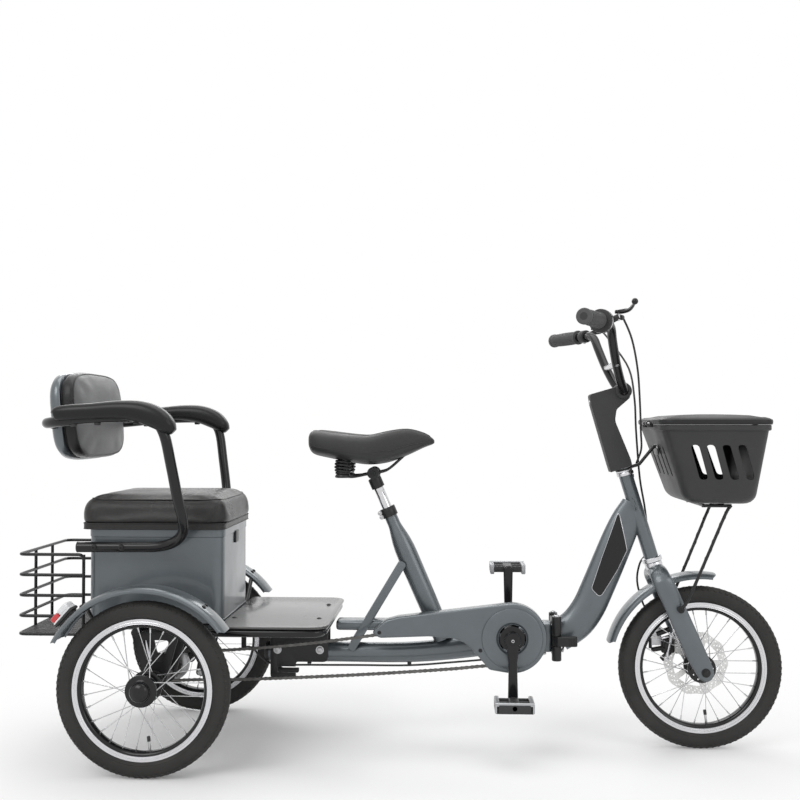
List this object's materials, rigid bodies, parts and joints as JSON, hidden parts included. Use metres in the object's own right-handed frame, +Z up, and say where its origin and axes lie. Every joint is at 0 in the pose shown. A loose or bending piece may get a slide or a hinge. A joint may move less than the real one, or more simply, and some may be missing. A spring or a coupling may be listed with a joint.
{
  "type": "folding adult tricycle",
  "caption": "Folding adult tricycle with a low step-through frame, sprung saddle, cushioned passenger box seat with arms and backrest, lidded front basket and open wire rear basket.",
  "frame": {"origin": "on the ground at the middle of the overall length and width", "axes": "+X points forward along the ride, +Y to the rider's left, +Z up"},
  "size_m": [1.8527, 0.7098, 1.0765],
  "materials": {
    "main_frame": "satin",
    "fold_hinge_rear": "satin",
    "carriage": "satin",
    "floor_board": "textured",
    "chain": "oiled",
    "chain_case": "satin",
    "chain_tensioner": "satin",
    "fender_right": "satin",
    "fender_left": "satin",
    "rear_lamp_right": "gloss",
    "rear_lamp_left": "gloss",
    "rear_crate": "satin",
    "storage_box": "satin",
    "backrest_pad": "satin",
    "backrest_shell": "satin",
    "arm_tube_right": "satin",
    "arm_tube_left": "satin",
    "arm_pad_right": "satin",
    "arm_pad_left": "satin",
    "seat_clamp": "satin",
    "rear_brake_cable_lower": "matte",
    "rear_axle": "oiled",
    "tyre_rear_right": "matte",
    "rim_rear_right": "satin",
    "hub_rear_left": "satin",
    "tyre_rear_left": "matte",
    "rim_rear_left": "satin",
    "crank_right": "satin",
    "crank_left": "satin",
    "pedal_right": "matte",
    "pedal_left": "matte",
    "front_frame_tube": "satin",
    "fold_hinge_front": "satin",
    "rear_brake_cable_frame": "matte",
    "fold_latch": "satin",
    "fork": "satin",
    "stem": "satin",
    "handlebar": "satin",
    "grip_right": "matte",
    "grip_left": "matte",
    "front_fender": "satin",
    "brake_caliper": "satin",
    "front_basket": "matte",
    "basket_struts": "satin",
    "front_brake_cable": "matte",
    "rear_brake_cable_upper": "matte",
    "bell_ring": "matte",
    "brake_lever_right": "satin",
    "brake_lever_left": "satin",
    "tyre_front": "matte",
    "rim_front": "satin",
    "hub_front": "satin",
    "brake_rotor": "satin",
    "basket_lid": "matte",
    "seat_cushion": "satin",
    "seat_post": "polished",
    "saddle": "satin",
    "saddle_rails": "satin",
    "saddle_spring_right": "satin",
    "saddle_spring_left": "satin"
  },
  "bodies": {
    "rear_frame": {"main_frame": "main_frame", "fold_hinge_rear": "fold_hinge_rear", "carriage": "carriage", "floor_board": "floor_board", "chain": "chain", "chain_case": "chain_case", "chain_tensioner": "chain_tensioner", "fender_right": "fender_right", "fender_left": "fender_left", "rear_lamp_right": "rear_lamp_right", "rear_lamp_left": "rear_lamp_left", "rear_crate": "rear_crate", "storage_box": "storage_box", "backrest_pad": "backrest_pad", "backrest_shell": "backrest_shell", "arm_tube_right": "arm_tube_right", "arm_tube_left": "arm_tube_left", "arm_pad_right": "arm_pad_right", "arm_pad_left": "arm_pad_left", "seat_clamp": "seat_clamp", "rear_brake_cable_lower": "rear_brake_cable_lower"},
    "drive_axle": {"rear_axle": "rear_axle", "tyre_rear_right": "tyre_rear_right", "rim_rear_right": "rim_rear_right"},
    "free_wheel": {"hub_rear_left": "hub_rear_left", "tyre_rear_left": "tyre_rear_left", "rim_rear_left": "rim_rear_left"},
    "cranks": {"crank_right": "crank_right", "crank_left": "crank_left"},
    "pedal_right": {"pedal_right": "pedal_right"},
    "pedal_left": {"pedal_left": "pedal_left"},
    "front_frame": {"front_frame_tube": "front_frame_tube", "fold_hinge_front": "fold_hinge_front", "rear_brake_cable_frame": "rear_brake_cable_frame"},
    "fold_latch": {"fold_latch": "fold_latch"},
    "steering": {"fork": "fork", "stem": "stem", "handlebar": "handlebar", "grip_right": "grip_right", "grip_left": "grip_left", "front_fender": "front_fender", "brake_caliper": "brake_caliper", "front_basket": "front_basket", "basket_struts": "basket_struts", "front_brake_cable": "front_brake_cable", "rear_brake_cable_upper": "rear_brake_cable_upper"},
    "bell_ring": {"bell_ring": "bell_ring"},
    "brake_lever_right": {"brake_lever_right": "brake_lever_right"},
    "brake_lever_left": {"brake_lever_left": "brake_lever_left"},
    "front_wheel": {"tyre_front": "tyre_front", "rim_front": "rim_front", "hub_front": "hub_front", "brake_rotor": "brake_rotor"},
    "basket_lid": {"basket_lid": "basket_lid"},
    "seat_lid": {"seat_cushion": "seat_cushion"},
    "seat_post": {"seat_post": "seat_post", "saddle": "saddle", "saddle_rails": "saddle_rails", "saddle_spring_right": "saddle_spring_right", "saddle_spring_left": "saddle_spring_left"}
  },
  "joints": [
    {"name": "frame_fold", "type": "hinge", "parent": "rear_frame", "child": "front_frame", "pos_m": [0.372, 0.047, 0.219], "axis": [0, 0, 1], "range_deg": [0, 100]},
    {"name": "latch_turn", "type": "hinge", "parent": "rear_frame", "child": "fold_latch", "pos_m": [0.372, -0.044, 0.219], "axis": [0, 0, 1], "range_deg": [-100, 0]},
    {"name": "steering_turn", "type": "hinge", "parent": "front_frame", "child": "steering", "pos_m": [0.614, 0, 0.457], "axis": [-0.2924, 0, 0.9563], "range_deg": [-60, 60]},
    {"name": "front_wheel_spin", "type": "hinge", "parent": "steering", "child": "front_wheel", "pos_m": [0.727, 0, 0.19874], "axis": [0, -1, 0], "continuous": true},
    {"name": "rear_drive", "type": "hinge", "parent": "rear_frame", "child": "drive_axle", "pos_m": [-0.58, 0, 0.19874], "axis": [0, -1, 0], "continuous": true},
    {"name": "left_wheel_spin", "type": "hinge", "parent": "drive_axle", "child": "free_wheel", "pos_m": [-0.58, 0.29, 0.19874], "axis": [0, -1, 0], "continuous": true},
    {"name": "crank_turn", "type": "hinge", "parent": "rear_frame", "child": "cranks", "pos_m": [0.262, 0, 0.279], "axis": [0, -1, 0], "continuous": true},
    {"name": "pedal_right_spin", "type": "hinge", "parent": "cranks", "child": "pedal_right", "pos_m": [0.262, -0.156, 0.139], "axis": [0, -1, 0], "continuous": true},
    {"name": "pedal_left_spin", "type": "hinge", "parent": "cranks", "child": "pedal_left", "pos_m": [0.262, 0.156, 0.419], "axis": [0, -1, 0], "continuous": true},
    {"name": "seat_height", "type": "slide", "parent": "rear_frame", "child": "seat_post", "axis": [-0.3987, 0, 0.9171], "range_m": [-0.04, 0.07]},
    {"name": "seat_lid_open", "type": "hinge", "parent": "rear_frame", "child": "seat_lid", "pos_m": [-0.767, 0, 0.541], "axis": [0, -1, 0], "range_deg": [0, 52]},
    {"name": "basket_lid_open", "type": "hinge", "parent": "steering", "child": "basket_lid", "pos_m": [0.6, 0, 0.8], "axis": [0, -1, 0], "range_deg": [0, 75]},
    {"name": "brake_lever_right_pull", "type": "hinge", "parent": "steering", "child": "brake_lever_right", "pos_m": [0.49987, -0.21354, 1.045], "axis": [0, 0, -1], "range_deg": [0, 25], "stiffness_Nm_per_rad": 1.5, "springref_deg": -5.73},
    {"name": "brake_lever_left_pull", "type": "hinge", "parent": "steering", "child": "brake_lever_left", "pos_m": [0.49987, 0.21354, 1.045], "axis": [0, 0, 1], "range_deg": [0, 25], "stiffness_Nm_per_rad": 1.5, "springref_deg": -5.73},
    {"name": "bell_twist", "type": "hinge", "parent": "steering", "child": "bell_ring", "pos_m": [0.4587, -0.23108, 1.033], "axis": [-0.4198, -0.9076, 0], "range_deg": [-45, 45], "stiffness_Nm_per_rad": 0.2}
  ],
  "couplings": [
    {"joint": "crank_turn", "follows": "rear_drive", "ratio": 0.53125}
  ]
}
